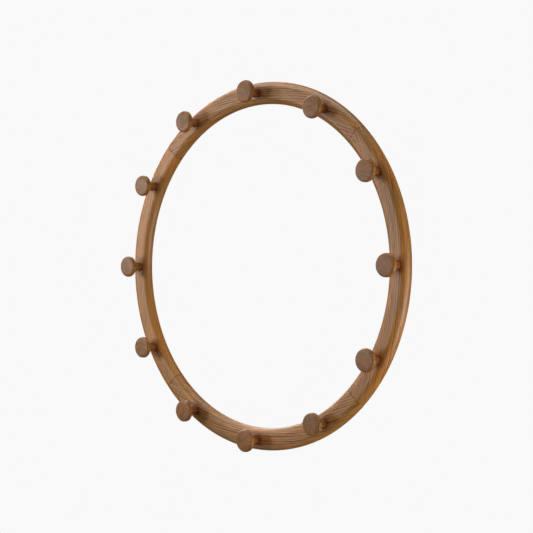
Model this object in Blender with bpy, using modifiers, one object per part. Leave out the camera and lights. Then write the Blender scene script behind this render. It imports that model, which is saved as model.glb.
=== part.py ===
"""Round wall peg rack: an oiled wooden ring that carries twelve turned mushroom pegs.

The rack is laid out on its back, in a bench frame: x to the right, y up the wall, z out of the
wall, with the ring's flat back on z = 0 and its centre at the origin. An empty then stands it up,
so in the world the wall is the plane y = 0, the pegs point along -Y and +Z is up. Units: metres.

The ring is four quarter segments with a loose tenon across each joint. Each peg is held by one
countersunk screw from the back. Two keyhole plates, sunk flush in the back, hang it on the wall.
"""

import math

import bmesh
import bpy
from mathutils import Matrix

RACK = "wall_peg_rack"
GAP = 0.0003                        # clearance between neighbouring solids

# Ring
RING_OUTER_R = 0.350
RING_WIDTH = 0.042
RING_THICK = 0.018
FACE_EDGE_R = 0.013                 # strong rounding between the face and the rims
BACK_EDGE_R = 0.002
RING_INNER_R = RING_OUTER_R - RING_WIDTH
RING_MID_R = RING_OUTER_R - RING_WIDTH / 2
RING_STEPS = 96
SEGMENT_ANGLES = {"right": 0, "top": 90, "left": 180, "bottom": 270}

# Loose tenons across the joints between segments
TENON_LENGTH = 0.040
TENON_WIDTH = 0.018
TENON_THICK = 0.005

# Pegs, measured from the ring's face
PEG_COUNT = 12
PEG_REACH = 0.035                   # face of the ring to front of the knob
KNOB_R = 0.021
KNOB_EDGE_R = 0.004
KNOB_BACK = 0.0273                  # where the knob is widest, before it tapers back to the stem
NECK_HEIGHT = 0.0195                # where the taper runs into the stem
TAPER_MIDDLE = (0.40, 0.5)          # share of the way from stem to rim, out and up, at half way
STEM_R = 0.0086
PEG_STEPS = 20

# Peg screws, 4.5 x 35 mm, driven from the back
PEG_SCREW = {"length": 0.035, "shank_r": 0.00225, "head_r": 0.0043, "rim": 0.0005, "tip": 0.004}
PILOT_DEPTH = 0.019                 # screw hole in the end of the stem
SCREW_SINK = 0.0003                 # head below the back face
SCREW_STEPS = 12

# Keyhole hanger plates
PLATE_ANGLES = {"right": 15, "left": 165}
PLATE_LENGTH = 0.040
PLATE_WIDTH = 0.016
PLATE_THICK = 0.0015
PLATE_SINK = 0.0002                 # plate below the back face, so the wood meets the wall
KEYHOLE_R = 0.00475                 # entry for the wall screw's head
KEYHOLE_Y = -0.005
SLOT_R = 0.0025
SLOT_END_Y = 0.007
PLATE_SCREW_Y = 0.0155
PLATE_SCREW = {"length": 0.012, "shank_r": 0.0015, "head_r": 0.0030, "rim": 0.0002, "tip": 0.003}
POCKET_R = 0.00575                  # room behind the plate for the wall screw's head
POCKET_LOW_Y = -0.0105
POCKET_HIGH_Y = 0.012
POCKET_DEPTH = 0.0105

CUTTER_RUNOUT = 0.002               # how far a cutter passes beyond what it cuts
KEEPER_SIDE = 1.2 * RING_OUTER_R    # side of the square block that keeps one quarter of the ring
FULL_ROUND = 0.98                   # of half the width: a bevel that leaves a sliver of flat end


# ---------------------------------------------------------------- scene and materials

def clear_scene():
    for obj in list(bpy.data.objects):
        bpy.data.objects.remove(obj, do_unlink=True)


def new_collection(name, hidden=False):
    collection = bpy.data.collections.new(name)
    bpy.context.scene.collection.children.link(collection)
    collection.hide_render = hidden
    return collection


def principled(name, color, roughness, metallic=0.0):
    mat = bpy.data.materials.new(name)
    mat.use_nodes = True
    shader = mat.node_tree.nodes["Principled BSDF"]
    shader.inputs["Base Color"].default_value = (*color, 1.0)
    shader.inputs["Roughness"].default_value = roughness
    shader.inputs["Metallic"].default_value = metallic
    return mat


def bench_empty():
    """Stand that turns the bench frame (z out of the wall) into the world frame (-Y out of it)."""
    stand = bpy.data.objects.new("stand", None)
    stand.rotation_euler = (math.radians(90), 0, 0)
    bpy.context.scene.collection.objects.link(stand)
    return stand


# ---------------------------------------------------------------- shape helpers

def polar(radius, degrees):
    angle = math.radians(degrees)
    return radius * math.cos(angle), radius * math.sin(angle)


def arc(center_x, center_z, radius, start, end, steps):
    """Points on a circular arc in a profile's plane, from start to end degrees."""
    points = []
    for i in range(steps + 1):
        dx, dz = polar(radius, start + (end - start) * i / steps)
        points.append((center_x + dx, center_z + dz))
    return points


def add_object(name, mesh, collection, stand, mat=None):
    obj = bpy.data.objects.new(name, mesh)
    collection.objects.link(obj)
    obj.parent = stand
    if mat:
        mesh.materials.append(mat)
    if collection.hide_render:
        obj.hide_render = True
        obj.display_type = "WIRE"
    return obj


def turned(name, profile, steps, collection, stand, mat=None, closed=False):
    """A profile in the xz plane, turned about z. Its outer side runs from top to bottom."""
    mesh = bpy.data.meshes.new(name)
    edges = [(i, i + 1) for i in range(len(profile) - 1)]
    if closed:
        edges.append((len(profile) - 1, 0))
    mesh.from_pydata([(x, 0, z) for x, z in profile], edges, [])
    obj = add_object(name, mesh, collection, stand, mat)
    screw = obj.modifiers.new("turn", "SCREW")
    screw.axis = "Z"
    screw.steps = steps
    screw.render_steps = steps
    screw.use_smooth_shade = True
    screw.use_merge_vertices = True
    screw.merge_threshold = 0.00001
    return obj


def block(name, size, center, collection, stand, mat=None, edge=None, radius=0.0, segments=1):
    """A box about center; radius rounds the four edges that run along axis number edge."""
    bm = bmesh.new()
    bmesh.ops.create_cube(bm, size=1.0, matrix=Matrix.Diagonal((*size, 1.0)))
    if edge is not None:
        along = [e for e in bm.edges
                 if abs((e.verts[0].co - e.verts[1].co)[edge]) > size[edge] / 2]
        bmesh.ops.bevel(bm, geom=along, offset=radius, segments=segments, profile=0.5, affect="EDGES")
    bmesh.ops.translate(bm, verts=bm.verts, vec=center)
    mesh = bpy.data.meshes.new(name)
    bm.to_mesh(mesh)
    bm.free()
    return add_object(name, mesh, collection, stand, mat)


def cut(obj, cutter, operation="DIFFERENCE"):
    boolean = obj.modifiers.new(cutter.name, "BOOLEAN")
    boolean.operation = operation
    boolean.solver = "EXACT"
    boolean.object = cutter


def screw_profile(spec, low):
    """A countersunk screw with its head low and its point up."""
    head_r = spec["head_r"]
    shank_r = spec["shank_r"]
    cone_low = low + spec["rim"]
    cone_high = cone_low + spec["head_r"] - spec["shank_r"]
    return [
        (0, low + spec["length"]),
        (shank_r, low + spec["length"] - spec["tip"]),
        (shank_r, cone_high),
        (head_r, cone_low),
        (head_r, low),
        (0, low),
    ]


def countersink_profile(spec, low, top):
    """Clearance hole for such a screw, from below the back face up to top."""
    head_r = spec["head_r"] + GAP
    shank_r = spec["shank_r"] + GAP
    cone_low = low + spec["rim"] + GAP
    cone_high = cone_low + spec["head_r"] - spec["shank_r"]
    return [
        (0, top),
        (shank_r, top),
        (shank_r, cone_high),
        (head_r, cone_low),
        (head_r, -CUTTER_RUNOUT),
        (0, -CUTTER_RUNOUT),
    ]


# ---------------------------------------------------------------- ring

def ring_profile():
    """Section of the ring: flat back with eased edges, flat face with wide roundings."""
    high = RING_THICK - FACE_EDGE_R
    section = arc(RING_OUTER_R - FACE_EDGE_R, high, FACE_EDGE_R, 90, 0, 5)
    section += arc(RING_OUTER_R - BACK_EDGE_R, BACK_EDGE_R, BACK_EDGE_R, 0, -90, 2)
    section += arc(RING_INNER_R + BACK_EDGE_R, BACK_EDGE_R, BACK_EDGE_R, -90, -180, 2)
    section += arc(RING_INNER_R + FACE_EDGE_R, high, FACE_EDGE_R, 180, 90, 5)
    return section


def quarter_cutter(name, degrees, collection, stand):
    """A square block whose corner is at the ring's centre: it keeps 45 degrees to either side."""
    middle = (KEEPER_SIDE + GAP) / 2
    size = (KEEPER_SIDE, KEEPER_SIDE, 4 * RING_THICK)
    keeper = block(name, size, (middle, middle, 0), collection, stand)
    keeper.rotation_euler = (0, 0, math.radians(degrees - 45))
    return keeper


def tenon(name, degrees, grow, collection, stand, mat=None):
    """A flat loose tenon with round edges, lying along the ring across the joint at degrees."""
    size = (TENON_WIDTH + 2 * grow, TENON_LENGTH + 2 * grow, TENON_THICK + 2 * grow)
    obj = block(name, size, (0, 0, 0), collection, stand, mat,
                edge=1, radius=size[2] / 2 * FULL_ROUND, segments=4)
    obj.location = (*polar(RING_MID_R, degrees), RING_THICK / 2)
    obj.rotation_euler = (0, 0, math.radians(degrees))
    return obj


def ring_segment(side, degrees, cutters, parts, stand, mat):
    name = "ring_segment_" + side
    segment = turned(name, ring_profile(), RING_STEPS, parts, stand, mat, closed=True)
    cut(segment, quarter_cutter("quarter_" + side, degrees, cutters, stand), "INTERSECT")
    for offset in (-45, 45):
        mortise_name = f"mortise_{side}_{'start' if offset < 0 else 'end'}"
        cut(segment, tenon(mortise_name, degrees + offset, GAP, cutters, stand))
    return segment


# ---------------------------------------------------------------- pegs

def peg_profile():
    """A mushroom peg above the ring's face, with the pilot hole for its screw in its foot."""
    front = PEG_REACH
    hole_r = PEG_SCREW["shank_r"] + GAP
    out, up = TAPER_MIDDLE
    profile = [(0, front)]
    profile += arc(KNOB_R - KNOB_EDGE_R, front - KNOB_EDGE_R, KNOB_EDGE_R, 90, 0, 3)
    profile += [
        (KNOB_R, KNOB_BACK),
        (STEM_R + out * (KNOB_R - STEM_R), NECK_HEIGHT + up * (KNOB_BACK - NECK_HEIGHT)),
        (STEM_R, NECK_HEIGHT),
        (STEM_R, GAP),
        (hole_r, GAP),
        (hole_r, PILOT_DEPTH - hole_r),
        (0, PILOT_DEPTH),
    ]
    return profile


def add_pegs(segments, cutters, parts, stand, peg_mat, screw_mat):
    """Pegs stand at the hours of a clock face, number 12 at the top."""
    for hour in range(1, PEG_COUNT + 1):
        degrees = 90 - hour * 360 / PEG_COUNT
        x, y = polar(RING_MID_R, degrees)
        peg = turned(f"peg_{hour:02d}", peg_profile(), PEG_STEPS, parts, stand, peg_mat)
        peg.location = (x, y, RING_THICK)
        peg.rotation_euler = (0, 0, math.radians(degrees))
        screw = turned(f"peg_screw_{hour:02d}", screw_profile(PEG_SCREW, SCREW_SINK),
                       SCREW_STEPS, parts, stand, screw_mat)
        screw.location = (x, y, 0)
        hole = turned(f"peg_hole_{hour:02d}",
                      countersink_profile(PEG_SCREW, SCREW_SINK, RING_THICK + CUTTER_RUNOUT),
                      SCREW_STEPS, cutters, stand)
        hole.location = (x, y, 0)
        cut(segments[nearest_segment(degrees)], hole)


def nearest_segment(degrees):
    def away(side):
        return abs((degrees - SEGMENT_ANGLES[side] + 180) % 360 - 180)
    return min(SEGMENT_ANGLES, key=away)


# ---------------------------------------------------------------- hanger plates

def obround(name, radius, low_y, high_y, low_z, high_z, collection, stand, mat=None):
    """A slab with two round ends, long along y."""
    length = high_y - low_y + 2 * radius
    size = (2 * radius, length, high_z - low_z)
    center = (0, (low_y + high_y) / 2, (low_z + high_z) / 2)
    return block(name, size, center, collection, stand, mat,
                 edge=2, radius=radius * FULL_ROUND, segments=6)


def add_plate(side, degrees, segment, cutters, parts, stand, plate_mat, screw_mat):
    """A keyhole plate, its recess and pocket in the wood, and its two small screws."""
    x, y = polar(RING_MID_R, degrees)
    end_y = PLATE_LENGTH / 2 - PLATE_WIDTH / 2
    top = PLATE_SINK + PLATE_THICK
    plate = obround("keyhole_plate_" + side, PLATE_WIDTH / 2, -end_y, end_y, PLATE_SINK, top,
                    parts, stand, plate_mat)
    keyhole = turned("keyhole_" + side,
                     [(0, top + CUTTER_RUNOUT), (KEYHOLE_R, top + CUTTER_RUNOUT),
                      (KEYHOLE_R, -CUTTER_RUNOUT), (0, -CUTTER_RUNOUT)],
                     PEG_STEPS, cutters, stand)
    slot = obround("slot_" + side, SLOT_R, KEYHOLE_Y, SLOT_END_Y, -CUTTER_RUNOUT,
                   top + CUTTER_RUNOUT, cutters, stand)
    recess = obround("recess_" + side, PLATE_WIDTH / 2 + GAP, -end_y, end_y, -CUTTER_RUNOUT,
                     top + GAP, cutters, stand)
    pocket = obround("pocket_" + side, POCKET_R, POCKET_LOW_Y + POCKET_R,
                     POCKET_HIGH_Y - POCKET_R, -CUTTER_RUNOUT, POCKET_DEPTH, cutters, stand)
    for obj in (plate, slot, recess, pocket):
        obj.location = (x, y, 0)
    keyhole.location = (x, y + KEYHOLE_Y, 0)
    cut(plate, keyhole)
    cut(plate, slot)
    cut(segment, recess)
    cut(segment, pocket)
    for end, offset in (("upper", PLATE_SCREW_Y), ("lower", -PLATE_SCREW_Y)):
        name = f"plate_screw_{side}_{end}"
        screw = turned(name, screw_profile(PLATE_SCREW, SCREW_SINK), SCREW_STEPS,
                       parts, stand, screw_mat)
        hole = turned("hole_" + name,
                      countersink_profile(PLATE_SCREW, SCREW_SINK,
                                          SCREW_SINK + PLATE_SCREW["length"] + GAP),
                      SCREW_STEPS, cutters, stand)
        for obj in (screw, hole):
            obj.location = (x, y + offset, 0)
        cut(plate, hole)
        cut(segment, hole)


# ---------------------------------------------------------------- assembly

def main():
    clear_scene()
    parts = new_collection(RACK)
    cutters = new_collection(RACK + "_cutters", hidden=True)
    stand = bench_empty()
    ring_wood = principled("oiled_oak_ring", (0.36, 0.21, 0.11), 0.55)
    peg_wood = principled("oiled_oak_peg", (0.30, 0.18, 0.10), 0.60)
    tenon_wood = principled("beech_tenon", (0.55, 0.38, 0.22), 0.70)
    zinc = principled("zinc_screw", (0.62, 0.62, 0.60), 0.35, 1.0)
    steel = principled("plate_steel", (0.50, 0.50, 0.52), 0.40, 1.0)

    segments = {}
    for side, degrees in SEGMENT_ANGLES.items():
        segments[side] = ring_segment(side, degrees, cutters, parts, stand, ring_wood)
        tenon(f"tenon_{side}", degrees + 45, 0.0, parts, stand, tenon_wood)
    add_pegs(segments, cutters, parts, stand, peg_wood, zinc)
    for side, degrees in PLATE_ANGLES.items():
        add_plate(side, degrees, segments[side], cutters, parts, stand, steel, zinc)


main()
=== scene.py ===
import math
from functools import partial

import bmesh
import bpy
from mathutils import Matrix, Vector

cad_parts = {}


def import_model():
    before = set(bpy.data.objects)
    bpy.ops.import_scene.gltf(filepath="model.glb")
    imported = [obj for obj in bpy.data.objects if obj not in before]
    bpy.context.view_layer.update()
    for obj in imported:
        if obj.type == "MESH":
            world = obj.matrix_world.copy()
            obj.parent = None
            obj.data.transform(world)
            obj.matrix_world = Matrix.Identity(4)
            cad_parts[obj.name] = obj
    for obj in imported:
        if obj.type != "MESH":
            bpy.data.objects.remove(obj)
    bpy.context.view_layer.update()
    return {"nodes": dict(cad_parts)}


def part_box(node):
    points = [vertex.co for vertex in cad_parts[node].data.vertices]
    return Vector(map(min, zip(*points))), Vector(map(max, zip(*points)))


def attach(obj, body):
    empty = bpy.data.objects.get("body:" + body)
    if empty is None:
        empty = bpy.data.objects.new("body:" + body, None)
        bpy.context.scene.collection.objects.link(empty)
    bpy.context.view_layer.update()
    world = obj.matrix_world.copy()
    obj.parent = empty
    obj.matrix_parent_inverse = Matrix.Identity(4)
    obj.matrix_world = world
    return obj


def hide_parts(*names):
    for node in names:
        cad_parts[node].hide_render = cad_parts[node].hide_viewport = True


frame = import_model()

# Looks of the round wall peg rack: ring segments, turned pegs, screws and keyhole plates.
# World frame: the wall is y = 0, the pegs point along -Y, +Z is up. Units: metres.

BODY = "root"
MM = 0.001

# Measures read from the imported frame
RING_OUTER_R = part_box("ring_segment_right")[1].x
RING_THICK = -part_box("ring_segment_top")[0].y
PEG_FRONT = -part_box("peg_12")[0].y
KNOB_R = (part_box("peg_12")[1].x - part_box("peg_12")[0].x) / 2
RING_MID_R = (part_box("peg_12")[0].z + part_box("peg_12")[1].z) / 2
RING_INNER_R = 2 * RING_MID_R - RING_OUTER_R
PEG_REACH = PEG_FRONT - RING_THICK
JOINT_GAP = 0.3 * MM

# Sections
FACE_EDGE_R = 13 * MM
BACK_EDGE_R = 2 * MM
KNOB_EDGE_R = 4 * MM
KNOB_RIM_R = 1.0 * MM
KNOB_CROWN = 0.35 * MM                  # how far the knob's front bulges
FOOT_EASE = 0.2 * MM
KNOB_BACK = 27.3 * MM
NECK_HEIGHT = 19.5 * MM
STEM_R = 8.6 * MM
SEAM_EASE = 0.3 * MM
SEAM_GAP = 0.04 * MM                    # pulled tight by the tenon

SEGMENT_ANGLES = {"right": 0, "top": 90, "left": 180, "bottom": 270}
HALF_SEGMENT = 45                       # degrees from a segment's middle to its ends
PEG_COUNT = 12
PEG_SPACING = 30                        # degrees

# Joinery and hardware, as in the CAD
TENON = (18 * MM, 40 * MM, 5 * MM)      # width, length, thickness
PEG_SCREW = {"length": 35 * MM, "shank_r": 2.25 * MM, "head_r": 4.3 * MM, "rim": 0.5 * MM,
             "tip": 4 * MM, "pitch": 2.0 * MM, "recess": 2.3 * MM}
PLATE_SCREW = {"length": 12 * MM, "shank_r": 1.5 * MM, "head_r": 3.0 * MM, "rim": 0.2 * MM,
               "tip": 3 * MM, "pitch": 1.3 * MM, "recess": 1.5 * MM}
SCREW_SINK = 0.3 * MM
PILOT_DEPTH = 19 * MM
PLATE_ANGLES = {"right": 15, "left": 165}
PLATE_LENGTH = 40 * MM
PLATE_WIDTH = 16 * MM
PLATE_LOW = 0.2 * MM
PLATE_HIGH = 1.7 * MM
PLATE_EASE = 0.25 * MM
KEYHOLE_R = 4.75 * MM
KEYHOLE_Y = -5 * MM
SLOT_R = 2.5 * MM
SLOT_END_Y = 7 * MM
PLATE_SCREW_Y = {"upper": 15.5 * MM, "lower": -15.5 * MM}
POCKET_R = 5.75 * MM
POCKET_ENDS = (-4.75 * MM, 6.25 * MM)
POCKET_DEPTH = 10.5 * MM
RUNOUT = 2 * MM                         # how far a cutter passes beyond the back face

# Screws
THREAD_CORE = 0.72                      # of the shank's radius
THREAD_RIDGE = 0.3                      # half the ridge's width, of the pitch
HEAD_EASE = 0.4                         # of the rim
CROSS_HALF_WIDTH = 0.22                 # of the cross's reach
CROSS_DEPTH = 0.9                       # of the cross's reach
CROSS_TAPER = 0.35

# The neck's curve and the knob's rim
NECK_CONTROL = (0.20, 0.32)             # where its control point lies, from the foot to the rim
RIM_RISE = 0.6                          # of the rim's radius
RIM_END = -55                           # degrees

# Fineness of the round shapes
HOLE_STEPS = 40
KNOB_STEPS = 72
SCREW_STEPS = 32
TAPER_STEPS = 12
CROWN_STEPS = 6
FACE_EDGE_STEPS = 14
BACK_EDGE_STEPS = 4
SIDE_STEPS = 4
INNER_STEPS = 6
THREAD_STEPS = 8                        # rows in one pitch
PLATE_END_STEPS = 28
POCKET_END_STEPS = 24


# ---------------------------------------------------------------- small helpers

def polar(radius, degrees):
    angle = math.radians(degrees)
    return radius * math.cos(angle), radius * math.sin(angle)


def arc(center, radius, start, end, steps):
    """Points on a circular arc, from start to end degrees, both kept."""
    points = []
    for i in range(steps + 1):
        dx, dy = polar(radius, start + (end - start) * i / steps)
        points.append((center[0] + dx, center[1] + dy))
    return points


def straight(start, end, steps):
    """Points from start to end, both left out."""
    return [(start[0] + (end[0] - start[0]) * i / steps, start[1] + (end[1] - start[1]) * i / steps)
            for i in range(1, steps)]


def bench_matrix(degrees=0.0, center=(0.0, 0.0)):
    """Bench frame (x right, y up the wall, z out of it), turned about z, in the world frame."""
    stand = Matrix.Rotation(math.radians(90), 4, "X")
    turn = Matrix.Rotation(math.radians(degrees), 4, "Z")
    return stand @ Matrix.Translation((center[0], center[1], 0)) @ turn


def mesh_object(name, bm, matrix, material=None, sharp_angle=35):
    mesh = bpy.data.meshes.new(name)
    bmesh.ops.recalc_face_normals(bm, faces=bm.faces)
    bm.to_mesh(mesh)
    bm.free()
    mesh.shade_smooth()
    mesh.set_sharp_from_angle(angle=math.radians(sharp_angle))
    obj = bpy.data.objects.new(name, mesh)
    bpy.context.scene.collection.objects.link(obj)
    obj.matrix_world = matrix
    if material:
        mesh.materials.append(material)
    return obj


def skin_rings(bm, rings):
    """Quads between closed rings of points that have the same count."""
    rows = [[bm.verts.new(p) for p in ring] for ring in rings]
    count = len(rows[0])
    for low, high in zip(rows, rows[1:]):
        for i in range(count):
            j = (i + 1) % count
            bm.faces.new((low[i], low[j], high[j], high[i]))
    return rows


def turned_mesh(profile, steps):
    """Closed solid of revolution about z; the profile starts and ends on the axis."""
    bm = bmesh.new()
    rings = []
    for x, z in profile[1:-1]:
        ring = []
        for k in range(steps):
            cx, cy = polar(x, 360 * k / steps)
            ring.append((cx, cy, z))
        rings.append(ring)
    rows = skin_rings(bm, rings)
    for tip_z, row in ((profile[0][1], rows[0]), (profile[-1][1], rows[-1])):
        tip = bm.verts.new((0, 0, tip_z))
        for k in range(steps):
            bm.faces.new((tip, row[k], row[(k + 1) % steps]))
    return bm


def loft_mesh(rings):
    """Closed solid through rings of points, with flat ends."""
    bm = bmesh.new()
    rows = skin_rings(bm, rings)
    bm.faces.new(rows[0])
    bm.faces.new(rows[-1])
    return bm


def prism_mesh(outline, low, high, high_scale=1.0):
    """Closed prism between z = low and z = high, which may taper towards high."""
    top = [(x * high_scale, y * high_scale, high) for x, y in outline]
    return loft_mesh([[(x, y, low) for x, y in outline], top])


def obround_outline(radius, low, high, steps=12):
    """Two half circles about (0, low) and (0, high)."""
    return arc((0, high), radius, 0, 180, steps) + arc((0, low), radius, 180, 360, steps)


def boolean(obj, cutter):
    """Cuts obj with cutter, applies the result and removes the cutter."""
    modifier = obj.modifiers.new("cut", "BOOLEAN")
    modifier.operation = "DIFFERENCE"
    modifier.solver = "EXACT"
    modifier.object = cutter
    bpy.context.view_layer.update()
    graph = bpy.context.evaluated_depsgraph_get()
    result = bpy.data.meshes.new_from_object(obj.evaluated_get(graph))
    obj.modifiers.clear()
    old = obj.data
    obj.data = result
    bpy.data.meshes.remove(old)
    old_cutter_mesh = cutter.data
    bpy.data.objects.remove(cutter)
    bpy.data.meshes.remove(old_cutter_mesh)


def settle(obj, slot_name, *nodes):
    """Puts a finished piece on the rack's body, in place of its CAD nodes."""
    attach(obj, BODY)
    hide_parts(*nodes)


# ---------------------------------------------------------------- shader helpers

def add_node(tree, kind, settings=None, inputs=None):
    """A node with its settings; inputs are values, or sockets to link."""
    new = tree.nodes.new(kind)
    for key, value in (settings or {}).items():
        setattr(new, key, value)
    for key, value in (inputs or {}).items():
        if isinstance(value, bpy.types.NodeSocket):
            tree.links.new(value, new.inputs[key])
        else:
            new.inputs[key].default_value = value
    return new


def math_node(tree, operation, a, b=0.0, c=0.0):
    return add_node(tree, "ShaderNodeMath", {"operation": operation}, {0: a, 1: b, 2: c}).outputs[0]


def combine(tree, x, y, z):
    return add_node(tree, "ShaderNodeCombineXYZ", None, {0: x, 1: y, 2: z}).outputs[0]


def smooth_range(tree, value, low, high, to_low=0.0, to_high=1.0):
    return add_node(tree, "ShaderNodeMapRange", {"interpolation_type": "SMOOTHSTEP"},
                    {"Value": value, "From Min": low, "From Max": high,
                     "To Min": to_low, "To Max": to_high}).outputs[0]


def noise(tree, vector, detail=2.0, roughness=0.5, scale=1.0):
    return add_node(tree, "ShaderNodeTexNoise", None,
                    {"Vector": vector, "Scale": scale, "Detail": detail,
                     "Roughness": roughness}).outputs[0]


def mix_color(tree, factor, a, b, blend="MIX"):
    new = add_node(tree, "ShaderNodeMix", {"data_type": "RGBA", "blend_type": blend})
    for index, value in ((0, factor), (6, a), (7, b)):
        if isinstance(value, bpy.types.NodeSocket):
            tree.links.new(value, new.inputs[index])
        elif index == 0:
            new.inputs[index].default_value = value
        else:
            new.inputs[index].default_value = (*value, 1.0)
    return new.outputs[2]


def new_material(name):
    mat = bpy.data.materials.new(name)
    mat.use_nodes = True
    return mat, mat.node_tree, mat.node_tree.nodes["Principled BSDF"]


# ---------------------------------------------------------------- wood

GRAIN_CURVE_R = 2 * RING_OUTER_R        # the grain bends half as much as the ring
GRAIN_LIFT = GRAIN_CURVE_R - RING_MID_R
# Colour of the oil in the joints, also used as painted shade round the pegs
JOINT_OIL_AND_PAINTED_SHADE = (0.50, 0.24, 0.08)
FLAT_HALF_WIDTH = (RING_OUTER_R - RING_INNER_R) / 2 - FACE_EDGE_R
SECTION_SLOPE = 0.7                     # how fast the section widens below its face
RIM_FALL = 0.9                          # how fast the growth lines shift down a rim
PITH_TURN = 30.0                        # millimetres, turns an angle about the pith into a length

# Dark oil at the joints, and painted shade round the feet and up the necks of the pegs: where they
# begin and end in millimetres, and how clean or unshaded the wood is there
JOINT_STAIN = (0.3, 1.3, 0.25, 1.0)     # from the joint
FOOT_PAINTED_SHADOW = (7.0, 22.0, 0.30, 1.0)     # from the peg's axis
NECK_PAINTED_SHADE = (3.0, 20.0, 0.30, 1.0)     # up the peg

# Sizes of the wood's figure, in millimetres along the grain, across it and deep
BEND_SIZE = (110, 50, 60)
DRIFT_SIZE = (80, 16, 30)
PORE_SIZE = (6, 0.35, 2)
FIBRE_WIDTH = 1.1
FIBRE_DEPTH = 9
FADE_LENGTH = 70
FADE_WIDTH = 7
YEAR_SIZE = 12
YEAR_VARIATION = 9.0
YEAR_PLACE = 3.7
LINE_PEAK = 0.15                        # the part of a year at which its line is darkest
LINE_END = 0.60                         # and at which it has gone
LINE_SHOW = 0.6
PORE_RANGE = (0.54, 0.66)
PORE_SHOW = 0.55
PORE_TONE = 0.4                         # of the dark wood's colour
STREAK_DARK = 0.24
STREAK_LIGHT = 0.20
COOL_TINT = (0.88, 0.94, 1.06)
WARM_TINT = (1.12, 1.04, 0.90)
END_GRAIN_TINT = (0.96, 0.94, 0.90)
WOOD_ROUGHNESS = 0.40
LINE_ROUGHNESS = 0.08
PORE_ROUGHNESS = 0.2
WOOD_SPECULAR = 0.37
PEG_SPECULAR = 0.30
WOOD_BUMP = 0.35
WOOD_RELIEF = 0.0002


def local_millimetres(tree):
    """The object's own coordinates, in millimetres."""
    local = add_node(tree, "ShaderNodeTexCoord").outputs["Object"]
    split = add_node(tree, "ShaderNodeSeparateXYZ", None, {0: local})
    return [math_node(tree, "MULTIPLY", split.outputs[i], 1 / MM) for i in range(3)]


def length(tree, x, y):
    return math_node(tree, "SQRT", math_node(tree, "MULTIPLY_ADD", x, x,
                                             math_node(tree, "MULTIPLY", y, y)))


def ring_grain(tree):
    """Millimetres along the grain of a ring segment, across it, and deep in it.

    A segment's origin is the centre of its grain's curve. The growth lines that cross the face run
    on over the roundings and down both rims. The last value is how clean of oil the wood is at the
    joints, times painted shadow round the feet of the pegs.
    """
    x, y, z = local_millimetres(tree)
    grain_r = length(tree, x, y)
    along = math_node(tree, "MULTIPLY", math_node(tree, "ARCTAN2", x, y), GRAIN_CURVE_R / MM)
    across = math_node(tree, "SUBTRACT", grain_r, GRAIN_CURVE_R / MM)
    ring_y = math_node(tree, "SUBTRACT", y, GRAIN_LIFT / MM)
    ring_r = length(tree, x, ring_y)
    flat = FLAT_HALF_WIDTH / MM
    below = math_node(tree, "SUBTRACT", RING_THICK / MM, z)
    half = math_node(tree, "MULTIPLY_ADD", below, SECTION_SLOPE, flat)
    side = smooth_range(tree, math_node(tree, "SUBTRACT", ring_r, RING_MID_R / MM),
                        math_node(tree, "MULTIPLY", half, -1.0), half, -1.0, 1.0)
    growth = math_node(tree, "MULTIPLY_ADD", math_node(tree, "MULTIPLY", side, RIM_FALL), below,
                       across)

    # Oil stands in the joints and darkens the wood there; round the feet of the pegs the darkening
    # is painted shadow of the knobs
    turned = math_node(tree, "ARCTAN2", x, ring_y)
    to_joint = math_node(tree, "MULTIPLY", math_node(
        tree, "SUBTRACT", math.radians(HALF_SEGMENT), math_node(tree, "ABSOLUTE", turned)),
        RING_MID_R / MM)
    off_peg = math_node(tree, "MULTIPLY", math_node(
        tree, "PINGPONG", turned, math.radians(PEG_SPACING / 2)), RING_MID_R / MM)
    on_face = length(tree, off_peg, math_node(tree, "SUBTRACT", ring_r, RING_MID_R / MM))
    to_peg = length(tree, on_face, below)
    clean_and_unshaded = math_node(tree, "MULTIPLY", smooth_range(tree, to_joint, *JOINT_STAIN),
                      smooth_range(tree, to_peg, *FOOT_PAINTED_SHADOW))
    return along, growth, z, clean_and_unshaded


def peg_grain(tree, degrees, pith):
    """The same for a peg, whose grain runs along its axis.

    The pith of the log is pith millimetres from that axis, and degrees turns it about the axis.
    The neck is darkened with painted shade, as under the knob.
    """
    x, y, z = local_millimetres(tree)
    cos, sin = polar(1.0, degrees)
    out = math_node(tree, "MULTIPLY_ADD", x, cos, math_node(tree, "MULTIPLY_ADD", y, sin, pith))
    aside = math_node(tree, "MULTIPLY_ADD", x, -sin, math_node(tree, "MULTIPLY", y, cos))
    turned = math_node(tree, "MULTIPLY", math_node(tree, "ARCTAN2", aside, out), PITH_TURN)
    # painted shade on the neck, darkest at its foot
    return z, length(tree, out, aside), turned, smooth_range(tree, z, *NECK_PAINTED_SHADE)


def tenon_grain(tree):
    """The same for a loose tenon."""
    x, y, z = local_millimetres(tree)
    return y, x, z, 1.0


def figure_point(tree, along, growth, deep, sizes):
    """A place in the wood, in units of the three sizes."""
    parts = [math_node(tree, "MULTIPLY", part, 1 / size)
             for part, size in zip((along, growth, deep), sizes)]
    return combine(tree, *parts)


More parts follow.
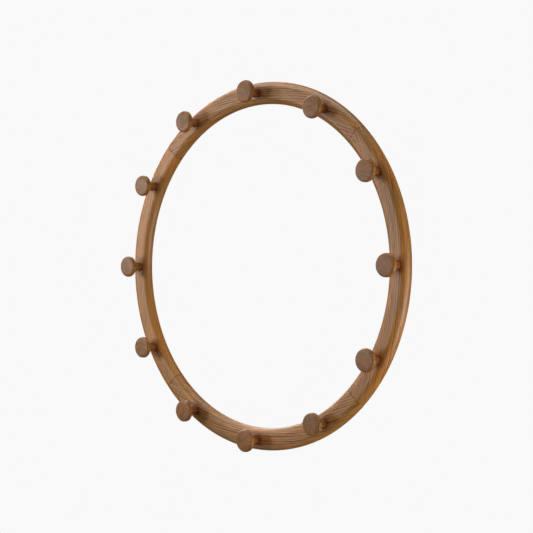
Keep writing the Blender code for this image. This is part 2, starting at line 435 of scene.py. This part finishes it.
def wood_material(name, grain, ring_step, shift, light, dark, line_strength=1.0, fibre_long=45.0,
                  waviness=3.0, end_grain=False):
    """Oiled open-pored wood: growth lines, fibres, pores and slow drifts of colour."""
    mat, tree, shader = new_material(name)
    along, growth, deep, clean_and_unshaded = grain(tree)
    along = math_node(tree, "ADD", along, shift)

    # The log's slow bends
    bend_at = figure_point(tree, along, growth, deep, BEND_SIZE)
    bend = math_node(tree, "SUBTRACT", noise(tree, bend_at, 1.0), 0.5)
    growth = math_node(tree, "MULTIPLY_ADD", bend, waviness, growth)

    # Growth lines, in wide and narrow years
    year_at = combine(tree, math_node(tree, "MULTIPLY", growth, 1 / YEAR_SIZE), YEAR_PLACE, shift)
    year = math_node(tree, "SUBTRACT", noise(tree, year_at, 1.0), 0.5)
    age = math_node(tree, "MULTIPLY_ADD", year, YEAR_VARIATION, growth)
    phase = math_node(tree, "FRACT", math_node(tree, "MULTIPLY", age, 1 / ring_step))
    line = math_node(tree, "MULTIPLY", smooth_range(tree, phase, 0.0, LINE_PEAK),
                     smooth_range(tree, phase, LINE_PEAK, LINE_END, 1.0, 0.0))
    fade_at = combine(tree, math_node(tree, "MULTIPLY", along, 1 / FADE_LENGTH), math_node(
        tree, "MULTIPLY", growth, 1 / FADE_WIDTH), shift)
    fade = smooth_range(tree, noise(tree, fade_at, 1.0), 0.35, 0.65, 0.35, 1.0)
    line = math_node(tree, "MULTIPLY", line, fade)

    # Fibres, pores and slow colour drift
    fibre_at = figure_point(tree, along, growth, deep, (fibre_long, FIBRE_WIDTH, FIBRE_DEPTH))
    fibre = noise(tree, fibre_at, 4.0, 0.65)
    pore_at = figure_point(tree, along, growth, deep, PORE_SIZE)
    pore = math_node(tree, "MULTIPLY", smooth_range(tree, noise(tree, pore_at, 1.0), *PORE_RANGE),
                     math_node(tree, "MULTIPLY_ADD", line, 0.75, 0.25))
    drift_at = figure_point(tree, along, growth, deep, DRIFT_SIZE)
    drift = noise(tree, drift_at, 2.0)

    # Colour
    darkness = math_node(tree, "MULTIPLY", line, LINE_SHOW * line_strength)
    color = mix_color(tree, darkness, light, dark)
    warm = mix_color(tree, smooth_range(tree, drift, 0.3, 0.7), COOL_TINT, WARM_TINT)
    color = mix_color(tree, 1.0, color, warm, "MULTIPLY")
    streak = smooth_range(tree, fibre, 0.28, 0.72, 1.0 - STREAK_DARK * line_strength,
                          1.0 + STREAK_LIGHT * line_strength)
    color = mix_color(tree, 1.0, color, combine(tree, streak, streak, streak), "MULTIPLY")
    color = mix_color(tree, math_node(tree, "MULTIPLY", pore, PORE_SHOW), color,
                      tuple(PORE_TONE * c for c in dark))
    if end_grain:
        normal = add_node(tree, "ShaderNodeTexCoord").outputs["Normal"]
        facing = add_node(tree, "ShaderNodeSeparateXYZ", None, {0: normal}).outputs[2]
        end = smooth_range(tree, facing, 0.7, 0.97)
        dull = mix_color(tree, 1.0, color, END_GRAIN_TINT, "MULTIPLY")
        color = mix_color(tree, end, color, dull)
    # Oil darkens the joints; round the feet and necks of the pegs the darkening is painted shade
    stain_and_shade = mix_color(tree, clean_and_unshaded, JOINT_OIL_AND_PAINTED_SHADE, (1.0, 1.0, 1.0))
    color = mix_color(tree, 1.0, color, stain_and_shade, "MULTIPLY")
    tree.links.new(color, shader.inputs["Base Color"])

    # Gloss and relief
    rough = math_node(tree, "MULTIPLY_ADD", line, LINE_ROUGHNESS, WOOD_ROUGHNESS)
    rough = math_node(tree, "MULTIPLY_ADD", pore, PORE_ROUGHNESS, rough)
    tree.links.new(rough, shader.inputs["Roughness"])
    specular = PEG_SPECULAR if end_grain else WOOD_SPECULAR
    shader.inputs["Specular IOR Level"].default_value = specular
    height = math_node(tree, "SUBTRACT", math_node(tree, "MULTIPLY", fibre, 0.5), pore)
    bump = add_node(tree, "ShaderNodeBump", None,
                    {"Strength": WOOD_BUMP, "Distance": WOOD_RELIEF, "Height": height})
    tree.links.new(bump.outputs[0], shader.inputs["Normal"])
    return mat


# ---------------------------------------------------------------- metal

PATCH_SCALE = 260.0
BRUSH_SCALE = (4000.0, 260.0, 4000.0)
METAL_BUMP = 0.25
METAL_RELIEF = 0.00005


def zinc_material(name, color, roughness):
    """Zinc-plated steel: fine brushing and dull patches."""
    mat, tree, shader = new_material(name)
    local = add_node(tree, "ShaderNodeTexCoord").outputs["Object"]
    patch = noise(tree, local, 3.0, 0.6, PATCH_SCALE)
    scratch_at = add_node(tree, "ShaderNodeMapping", None,
                          {"Vector": local, "Scale": BRUSH_SCALE}).outputs[0]
    scratch = noise(tree, scratch_at, 2.0)
    shade = smooth_range(tree, patch, 0.3, 0.7, 0.82, 1.06)
    tint = mix_color(tree, 1.0, color, combine(tree, shade, shade, shade), "MULTIPLY")
    tree.links.new(tint, shader.inputs["Base Color"])
    rough = math_node(tree, "MULTIPLY_ADD", patch, 0.25, roughness - 0.1)
    tree.links.new(rough, shader.inputs["Roughness"])
    shader.inputs["Metallic"].default_value = 1.0
    bump = add_node(tree, "ShaderNodeBump", None,
                    {"Strength": METAL_BUMP, "Distance": METAL_RELIEF, "Height": scratch})
    tree.links.new(bump.outputs[0], shader.inputs["Normal"])
    return mat


# ---------------------------------------------------------------- ring

ARC_STEP = 0.75                 # degrees between stations along a segment


def ring_section(inset=0.0):
    """Section of the ring in (radius, height above the back), shrunk by inset all round."""
    outer, inner = RING_OUTER_R - inset, RING_INNER_R + inset
    low, high = inset, RING_THICK - inset
    face_r, back_r = FACE_EDGE_R - inset, BACK_EDGE_R - inset
    corners = [
        ((outer - face_r, high - face_r), face_r, 90, FACE_EDGE_STEPS),
        ((outer - back_r, low + back_r), back_r, 0, BACK_EDGE_STEPS),
        ((inner + back_r, low + back_r), back_r, -90, BACK_EDGE_STEPS),
        ((inner + face_r, high - face_r), face_r, -180, FACE_EDGE_STEPS),
    ]
    section = []
    for center, radius, start, steps in corners:
        points = arc(center, radius, start, start - 90, steps)
        if section:
            section += straight(section[-1], points[0], SIDE_STEPS)
        section += points
    section += straight(section[-1], section[0], INNER_STEPS)
    return section


def segment_stations():
    """Angles from the segment's middle and the inset of its section, with eased ends."""
    end = HALF_SEGMENT - math.degrees(SEAM_GAP / 2 / RING_MID_R)
    ease = math.degrees(SEAM_EASE / RING_MID_R)
    inner_end = end - ease
    count = round(2 * inner_end / ARC_STEP)
    stations = [(-end, SEAM_EASE)]
    stations += [(-inner_end + 2 * inner_end * i / count, 0.0) for i in range(count + 1)]
    stations += [(end, SEAM_EASE)]
    return stations


def ring_segment(side, degrees, material):
    """A quarter of the ring; its own frame has y along the segment's middle radius."""
    bm = bmesh.new()
    rings = []
    for angle, inset in segment_stations():
        ring = []
        for radius, height in ring_section(inset):
            x, y = polar(radius, 90 + angle)
            ring.append((x, y + GRAIN_LIFT, height))
        rings.append(ring)
    rows = skin_rings(bm, rings)
    bm.faces.new(rows[0])
    bm.faces.new(rows[-1])
    turn = bench_matrix(degrees - 90) @ Matrix.Translation((0, -GRAIN_LIFT, 0))
    return mesh_object("oak_segment_" + side, bm, turn, material, 30)


def countersink(spec, top, center):
    """Cutter for a screw's clearance hole, from below the back face up to top."""
    head_r = spec["head_r"] + JOINT_GAP
    shank_r = spec["shank_r"] + JOINT_GAP
    cone_low = SCREW_SINK + spec["rim"] + JOINT_GAP
    cone_high = cone_low + spec["head_r"] - spec["shank_r"]
    profile = [(0, top), (shank_r, top), (shank_r, cone_high), (head_r, cone_low),
               (head_r, -RUNOUT), (0, -RUNOUT)]
    return mesh_object("cutter", turned_mesh(profile, HOLE_STEPS), bench_matrix(0, center))


def mortise(degrees):
    """Cutter for half of the slot that a loose tenon sits in, at the joint at degrees."""
    width, long, thick = (size + 2 * JOINT_GAP for size in TENON)
    end = width / 2 - thick / 2
    outline = [(y, x) for x, y in obround_outline(thick / 2, -end, end)]
    rings = [[(x, y, z + RING_THICK / 2) for x, z in outline] for y in (-long / 2, long / 2)]
    place = bench_matrix(degrees, polar(RING_MID_R, degrees))
    return mesh_object("cutter", loft_mesh(rings), place)


def drill_segment(segment, side, degrees):
    """Cuts the mortises, the screw holes and the bed of a hanger plate into a segment."""
    for offset in (-HALF_SEGMENT, HALF_SEGMENT):
        boolean(segment, mortise(degrees + offset))
    for offset in (-PEG_SPACING, 0, PEG_SPACING):
        boolean(segment, countersink(PEG_SCREW, RING_THICK + RUNOUT,
                                     polar(RING_MID_R, degrees + offset)))
    if side in PLATE_ANGLES:
        x, y = polar(RING_MID_R, PLATE_ANGLES[side])
        end_y = PLATE_LENGTH / 2 - PLATE_WIDTH / 2
        recess = obround_outline(PLATE_WIDTH / 2 + JOINT_GAP, -end_y, end_y, POCKET_END_STEPS)
        pocket = obround_outline(POCKET_R, *POCKET_ENDS, POCKET_END_STEPS)
        for outline, depth in ((recess, PLATE_HIGH + JOINT_GAP), (pocket, POCKET_DEPTH)):
            bed = prism_mesh(outline, -RUNOUT, depth)
            boolean(segment, mesh_object("cutter", bed, bench_matrix(0, (x, y))))
        top = SCREW_SINK + PLATE_SCREW["length"] + JOINT_GAP
        for offset in PLATE_SCREW_Y.values():
            boolean(segment, countersink(PLATE_SCREW, top, (x, y + offset)))


# ---------------------------------------------------------------- screws and hanger plates

def screw_mesh(spec):
    """A countersunk wood screw with its head low: flat head, helical thread, sharp point."""
    head_r = spec["head_r"]
    shank_r = spec["shank_r"]
    core_r = THREAD_CORE * shank_r
    cone_high = SCREW_SINK + spec["rim"] + head_r - shank_r
    top = SCREW_SINK + spec["length"]
    edge = HEAD_EASE * spec["rim"]
    steps = SCREW_STEPS
    rings = []
    for radius, z in ((head_r - edge, SCREW_SINK), (head_r, SCREW_SINK + edge),
                      (head_r, SCREW_SINK + spec["rim"]), (shank_r, cone_high)):
        ring = [polar(radius, 360 * k / steps) for k in range(steps)]
        rings.append([(x, y, z) for x, y in ring])
    rows = round(THREAD_STEPS * (top - cone_high) / spec["pitch"])
    for row in range(1, rows):
        z = cone_high + (top - cone_high) * row / rows
        taper = min(1.0, (top - z) / spec["tip"])
        ring = []
        for k in range(steps):
            phase = (z / spec["pitch"] - k / steps) % 1
            ridge = max(0.0, 1 - abs(phase - 0.5) / THREAD_RIDGE)
            x, y = polar(taper * (core_r + (shank_r - core_r) * ridge), 360 * k / steps)
            ring.append((x, y, z))
        rings.append(ring)
    return loft_mesh(rings)


def cross_outline(reach, half_width):
    """A plus sign, as cut by a cross-head bit."""
    corner = [(reach, -half_width), (reach, half_width), (half_width, half_width)]
    outline = []
    for quarter in range(4):
        for x, y in corner:
            for _ in range(quarter):
                x, y = -y, x
            outline.append((x, y))
    return outline


def screw(name, spec, center, turn, look, node):
    """A screw seen from the back of the rack; turn is where its cross came to rest."""
    matrix = bench_matrix(turn, center)
    obj = mesh_object(name, screw_mesh(spec), matrix, look, 40)
    reach = spec["recess"]
    bit = prism_mesh(cross_outline(reach, CROSS_HALF_WIDTH * reach), SCREW_SINK - 0.2 * MM,
                     SCREW_SINK + CROSS_DEPTH * reach, CROSS_TAPER)
    boolean(obj, mesh_object("cutter", bit, matrix))
    settle(obj, "zinc_screw", node)


def keyhole_outline():
    """Round entry below, narrow slot above."""
    meet = math.degrees(math.asin(SLOT_R / KEYHOLE_R))
    outline = arc((0, SLOT_END_Y), SLOT_R, 0, 180, 20)
    outline += arc((0, KEYHOLE_Y), KEYHOLE_R, 90 + meet, 450 - meet, 48)
    return outline


def keyhole_plate(side, degrees, steel):
    """A stamped steel hanger plate with eased edges, flush in the back of a segment."""
    x, y = polar(RING_MID_R, degrees)
    matrix = bench_matrix(0, (x, y))
    end_y = PLATE_LENGTH / 2 - PLATE_WIDTH / 2
    rings = []
    for z, inset in ((PLATE_LOW, PLATE_EASE), (PLATE_LOW + PLATE_EASE, 0),
                     (PLATE_HIGH - PLATE_EASE, 0), (PLATE_HIGH, PLATE_EASE)):
        outline = obround_outline(PLATE_WIDTH / 2 - inset, -end_y, end_y, PLATE_END_STEPS)
        rings.append([(px, py, z) for px, py in outline])
    plate = mesh_object("hanger_plate_" + side, loft_mesh(rings), matrix, steel, 30)
    opening = prism_mesh(keyhole_outline(), PLATE_LOW - RUNOUT, PLATE_HIGH + RUNOUT)
    boolean(plate, mesh_object("cutter", opening, matrix))
    for offset in PLATE_SCREW_Y.values():
        boolean(plate, countersink(PLATE_SCREW, PLATE_HIGH + RUNOUT, (x, y + offset)))
    settle(plate, "plate_steel", "keyhole_plate_" + side)


# ---------------------------------------------------------------- assembly

GOLDEN = (0.39, 0.17, 0.04)
BROWN = (0.12, 0.038, 0.005)

# For each segment: distance between growth lines, place in the log, strength of the lines
SEGMENT_WOOD = {
    "right": (3.4, 40, 1.8),
    "top": (4.8, 400, 1.8),
    "left": (3.8, 900, 0.9),
    "bottom": (4.8, 1500, 1.9),
}

for side, degrees in SEGMENT_ANGLES.items():
    step, shift, strength = SEGMENT_WOOD[side]
    look = wood_material("ring_wood_" + side, ring_grain, step, shift, GOLDEN, BROWN, strength)
    segment = ring_segment(side, degrees, look)
    drill_segment(segment, side, degrees)
    settle(segment, "ring_wood", "ring_segment_" + side)


def knob_profile():
    """Turned peg from the front of the knob down to its foot and up its screw hole."""
    front = PEG_REACH
    crown = KNOB_CROWN
    edge_center = (KNOB_R - KNOB_EDGE_R, front - crown - KNOB_EDGE_R)
    profile = [(0, front)]
    flat_r = KNOB_R - KNOB_EDGE_R
    profile += [(flat_r * k / CROWN_STEPS, front - crown * (k / CROWN_STEPS) ** 2)
                for k in range(1, CROWN_STEPS)]
    profile += arc(edge_center, KNOB_EDGE_R, 90, 0, 10)
    rim_center = (KNOB_R - KNOB_RIM_R, KNOB_BACK + KNOB_RIM_R * RIM_RISE)
    profile += arc(rim_center, KNOB_RIM_R, 0, RIM_END, 5)
    start = profile[-1]
    foot = (STEM_R, NECK_HEIGHT)
    # A quadratic curve that leaves the rim along the cone and runs into the stem
    control = (STEM_R + NECK_CONTROL[0] * (start[0] - STEM_R),
               NECK_HEIGHT + NECK_CONTROL[1] * (start[1] - NECK_HEIGHT))
    for k in range(1, TAPER_STEPS + 1):
        t = k / TAPER_STEPS
        x = (1 - t) ** 2 * start[0] + 2 * t * (1 - t) * control[0] + t * t * foot[0]
        z = (1 - t) ** 2 * start[1] + 2 * t * (1 - t) * control[1] + t * t * foot[1]
        profile.append((x, z))
    profile += straight(foot, (STEM_R, FOOT_EASE + JOINT_GAP), 5)
    hole_r = PEG_SCREW["shank_r"] + JOINT_GAP
    profile += [(STEM_R, FOOT_EASE + JOINT_GAP), (STEM_R - FOOT_EASE, JOINT_GAP),
                (hole_r, JOINT_GAP), (hole_r, PILOT_DEPTH - hole_r), (0, PILOT_DEPTH)]
    return profile


zinc = zinc_material("zinc", color=(0.66, 0.66, 0.63), roughness=0.32)
steel = zinc_material("steel", color=(0.50, 0.50, 0.52), roughness=0.48)
PEG_LIGHT = (0.285, 0.119, 0.029)
PEG_DARK = (0.08, 0.028, 0.004)
PITH_NEAREST = 26.0                     # millimetres from a peg's axis to the pith of its log
PITH_STEP = 7.0

# How far the grain of each knob is turned, in degrees, from 1 o'clock on
GRAIN_TURN = [75, 100, 35, 60, 5, 120, 150, 95, 20, 80, 130, 50]

for hour in range(1, PEG_COUNT + 1):
    name = f"peg_{hour:02d}"
    low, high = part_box(name)
    center = (low + high) / 2
    pith = PITH_NEAREST + PITH_STEP * (hour % 4)
    grain = partial(peg_grain, degrees=GRAIN_TURN[hour - 1], pith=pith)
    look = wood_material("peg_wood_" + str(hour), grain, ring_step=2.2, shift=37.0 * hour,
                         light=PEG_LIGHT, dark=PEG_DARK, line_strength=1.7, fibre_long=60.0,
                         waviness=1.5, end_grain=True)
    matrix = bench_matrix(0, (center.x, center.z)) @ Matrix.Translation((0, 0, RING_THICK))
    peg = mesh_object("turned_" + name, turned_mesh(knob_profile(), KNOB_STEPS), matrix, look, 30)
    settle(peg, "peg_wood", name)
    screw(f"wood_screw_{hour:02d}", PEG_SCREW, (center.x, center.z), 31 * hour, zinc,
          f"peg_screw_{hour:02d}")

for side, degrees in PLATE_ANGLES.items():
    keyhole_plate(side, degrees, steel)
    x, y = polar(RING_MID_R, degrees)
    for end, offset in PLATE_SCREW_Y.items():
        screw(f"plate_fixing_{side}_{end}", PLATE_SCREW, (x, y + offset), 40 + degrees, zinc,
              f"plate_screw_{side}_{end}")

BEECH_LIGHT = (0.52, 0.33, 0.17)
BEECH_DARK = (0.30, 0.17, 0.08)
beech = wood_material("beech", tenon_grain, ring_step=2.2, shift=60.0, light=BEECH_LIGHT,
                      dark=BEECH_DARK, line_strength=0.7)
for side in SEGMENT_ANGLES:
    for material_slot in frame["nodes"]["tenon_" + side].material_slots:
        material_slot.material = beech


# ---------------------------------------------------------------- stage, lights, camera

def area_light(azimuth, elevation, distance, size, power):
    """A square softbox that faces the ring's centre. Azimuth 0 is straight in front of the ring."""
    a, e = math.radians(azimuth), math.radians(elevation)
    place = Vector((math.sin(a) * math.cos(e), -math.cos(a) * math.cos(e), math.sin(e))) * distance
    data = bpy.data.lights.new("softbox", "AREA")
    data.size = size
    data.energy = power
    light = bpy.data.objects.new("softbox", data)
    bpy.context.scene.collection.objects.link(light)
    light.location = place
    light.rotation_euler = (-place).to_track_quat("-Z", "Y").to_euler()


def softboxes():
    """A soft studio: the ring's face is edge-on to most of the light."""
    area_light(90, -20, 2.5, 1.5, 55)       # on the right, level with the wall: the outer rim
    area_light(90, -10, 1.0, 0.5, 1)        # small and near: the bright band along that rim
    area_light(-120, 25, 2.5, 1.5, 40)      # from behind on the left: lights the inner rim
    area_light(-60, 50, 2.5, 1.5, 40)       # high on the left: the grey sheen of the face
    area_light(-30, 0, 2.5, 0.7, 20)        # small key in front: the shadows beside the pegs
    area_light(-55, 8, 2.5, 0.8, 17)        # further left: the grey sheen of the left half
    area_light(-50, -50, 2.5, 1.5, 10)      # low on the left
    area_light(0, 90, 2.5, 1.5, 35)         # overhead: the top of every rounding


PAPER = 0.947                   # the backdrop's brightness, just under white
FLOOR_HEIGHT = -1.2
SURROUND = 0.02                 # strength of the light from all round


def stage():
    """A plain pale floor, far below the rack, that lights nothing."""
    bm = bmesh.new()
    bmesh.ops.create_grid(bm, x_segments=8, y_segments=8, size=40)
    mat, tree, shader = new_material("pale_floor")
    tree.nodes.remove(shader)
    glow = add_node(tree, "ShaderNodeEmission", None, {"Color": (PAPER, PAPER, PAPER, 1)})
    tree.links.new(glow.outputs[0], tree.nodes["Material Output"].inputs["Surface"])
    floor = mesh_object("floor", bm, Matrix.Translation((0, 0, FLOOR_HEIGHT)), mat)
    floor.visible_diffuse = False
    floor.visible_glossy = False
    floor.visible_shadow = False


def world():
    """White paper to the camera, and almost no light from all round on the wood."""
    new = bpy.data.worlds.new("studio")
    bpy.context.scene.world = new
    new.use_nodes = True
    tree = new.node_tree
    tree.nodes.clear()
    seen = add_node(tree, "ShaderNodeBackground", None, {"Color": (PAPER, PAPER, PAPER, 1)})
    surround = add_node(tree, "ShaderNodeBackground", None,
                        {"Color": (1.0, 0.98, 0.96, 1), "Strength": SURROUND})
    path = add_node(tree, "ShaderNodeLightPath")
    mixer = add_node(tree, "ShaderNodeMixShader", None,
                     {0: path.outputs["Is Camera Ray"], 1: surround.outputs[0],
                      2: seen.outputs[0]})
    add_node(tree, "ShaderNodeOutputWorld", None, {"Surface": mixer.outputs[0]})


CAMERA_AZIMUTH = 42.6           # degrees to the right of straight in front
CAMERA_DISTANCE = 6.75 * RING_OUTER_R
CAMERA_HEIGHT = -0.04 * RING_OUTER_R
AIM_RIGHT = 0.0085 * CAMERA_DISTANCE
AIM_UP = 0.0055 * CAMERA_DISTANCE
LENS = 84                       # millimetres
SENSOR_WIDTH = 36               # millimetres


def camera():
    a = math.radians(CAMERA_AZIMUTH)
    place = Vector((CAMERA_DISTANCE * math.sin(a), -RING_THICK - CAMERA_DISTANCE * math.cos(a),
                    CAMERA_HEIGHT))
    right = Vector((math.cos(a), math.sin(a), 0))
    aim = Vector((0, -RING_THICK, CAMERA_HEIGHT)) + right * AIM_RIGHT + Vector((0, 0, AIM_UP))
    data = bpy.data.cameras.new("camera")
    data.lens = LENS
    data.sensor_width = SENSOR_WIDTH
    obj = bpy.data.objects.new("camera", data)
    bpy.context.scene.collection.objects.link(obj)
    obj.location = place
    obj.rotation_euler = (aim - place).to_track_quat("-Z", "Y").to_euler()
    bpy.context.scene.camera = obj


stage()
world()
softboxes()
camera()
bpy.context.scene.view_settings.view_transform = "Standard"
